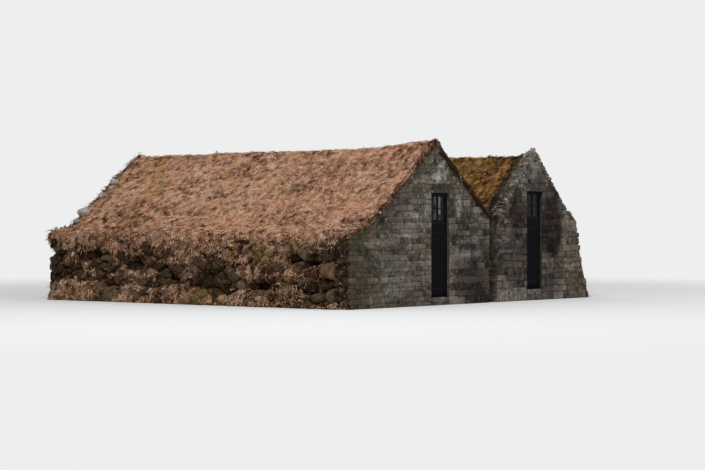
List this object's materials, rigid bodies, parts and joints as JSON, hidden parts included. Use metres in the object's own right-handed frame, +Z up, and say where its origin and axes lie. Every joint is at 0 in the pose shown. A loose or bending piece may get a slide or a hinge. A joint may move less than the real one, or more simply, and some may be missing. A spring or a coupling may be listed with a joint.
{
  "type": "turf house",
  "caption": "Twin-gabled turf house: turf roofs on stone walls, a masonry front with narrow plank doors and small windows over them.",
  "frame": {"origin": "on the ground under the centre of the bounding box", "axes": "+X along the front to the right as seen from outside, +Y from the front to the back, +Z up"},
  "size_m": [11.05, 10.52, 4.0963],
  "materials": {
    "front_stone": "rough, weathered, lichen",
    "lintel_stone": "rough",
    "rubble": "rough, mossy",
    "roof_timber": "sawn, weathered",
    "dry_turf": "matted dry grass",
    "moss_turf": "moss and dry grass",
    "frame_wood": "tarred, weathered",
    "door_wood": "tarred, weathered",
    "iron": "dark, rusted",
    "pane_glass": "clear, dusty"
  },
  "bodies": {
    "root": {"left_front_outer_pier": "front_stone", "left_front_inner_pier": "front_stone", "left_front_gable": "front_stone", "right_front_inner_pier": "front_stone", "right_front_outer_pier": "front_stone", "right_front_gable": "front_stone", "lintels": "lintel_stone", "thresholds": "lintel_stone", "middle_wall_end": "rubble", "left_side_wall": "rubble", "middle_wall": "rubble", "right_side_wall": "rubble", "left_back_wall": "rubble", "right_back_wall": "rubble", "left_posts": "roof_timber", "right_posts": "roof_timber", "left_wall_plates": "roof_timber", "right_wall_plates": "roof_timber", "left_tie_beams": "roof_timber", "right_tie_beams": "roof_timber", "left_ridge_beam": "roof_timber", "right_ridge_beam": "roof_timber", "left_rafters": "roof_timber", "right_rafters": "roof_timber", "left_roof_boards": "roof_timber", "right_roof_boards": "roof_timber", "left_roof_turf_outer": "dry_turf", "left_roof_turf_valley": "dry_turf", "right_roof_turf_valley": "moss_turf", "right_roof_turf_outer": "dry_turf", "left_door_frame": "frame_wood", "right_door_frame": "frame_wood", "left_pintles": "iron", "right_pintles": "iron", "left_window_sash": "frame_wood", "right_window_sash": "frame_wood", "left_window_glass": "pane_glass", "right_window_glass": "pane_glass"},
    "left_door": {"left_door": "door_wood", "left_door_ledges": "door_wood", "left_door_ironwork": "iron"},
    "right_door": {"right_door": "door_wood", "right_door_ledges": "door_wood", "right_door_ironwork": "iron"}
  },
  "joints": [
    {"name": "left_door_hinge", "type": "hinge", "parent": "root", "child": "left_door", "pos_m": [-2.142, -5.1528, 0.2], "axis": [0, 0, -1], "range_deg": [0, 95]},
    {"name": "right_door_hinge", "type": "hinge", "parent": "root", "child": "right_door", "pos_m": [2.108, -5.1528, 0.3], "axis": [0, 0, -1], "range_deg": [0, 95]}
  ]
}
